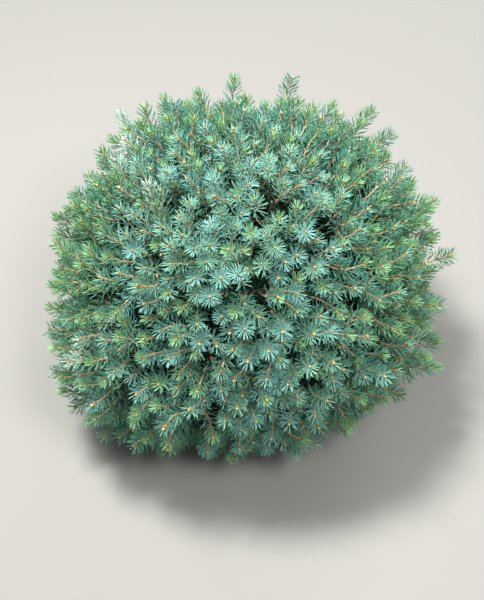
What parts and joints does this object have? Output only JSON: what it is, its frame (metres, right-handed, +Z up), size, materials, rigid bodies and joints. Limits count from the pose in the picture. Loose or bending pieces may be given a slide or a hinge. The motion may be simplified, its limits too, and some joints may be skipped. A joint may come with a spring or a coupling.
{
  "type": "dwarf white spruce",
  "caption": "Dwarf white spruce of flat-globe habit, rooted in the ground, with a short trunk, boughs and dense blue-green needles.",
  "frame": {"origin": "middle of the flat cut through the trunk at ground level", "axes": "+Z up, -Y towards the viewer of the picture, +X to the viewer's right"},
  "size_m": [0.3028, 0.3016, 0.2184],
  "materials": {
    "bark": "rough young bark, tan to grey-brown",
    "needles": "waxy blue-green needles, paler at the shoot tips"
  },
  "bodies": {
    "root": {"bough_high_1": "bark", "bough_high_2": "bark", "bough_high_3": "bark", "bough_high_4": "bark", "bough_high_5": "bark", "bough_low_1": "bark", "bough_low_2": "bark", "bough_low_3": "bark", "bough_low_4": "bark", "bough_low_5": "bark", "bough_low_6": "bark", "bough_low_7": "bark", "bough_mid_1": "bark", "bough_mid_2": "bark", "bough_mid_3": "bark", "bough_mid_4": "bark", "bough_mid_5": "bark", "bough_mid_6": "bark", "bough_mid_7": "bark", "foliage_high_1": "needles", "foliage_high_2": "needles", "foliage_high_3": "needles", "foliage_high_4": "needles", "foliage_high_5": "needles", "foliage_low_1": "needles", "foliage_low_2": "needles", "foliage_low_3": "needles", "foliage_low_4": "needles", "foliage_low_5": "needles", "foliage_low_6": "needles", "foliage_low_7": "needles", "foliage_mid_1": "needles", "foliage_mid_2": "needles", "foliage_mid_3": "needles", "foliage_mid_4": "needles", "foliage_mid_5": "needles", "foliage_mid_6": "needles", "foliage_mid_7": "needles", "foliage_top": "needles", "trunk": "bark"}
  },
  "joints": []
}
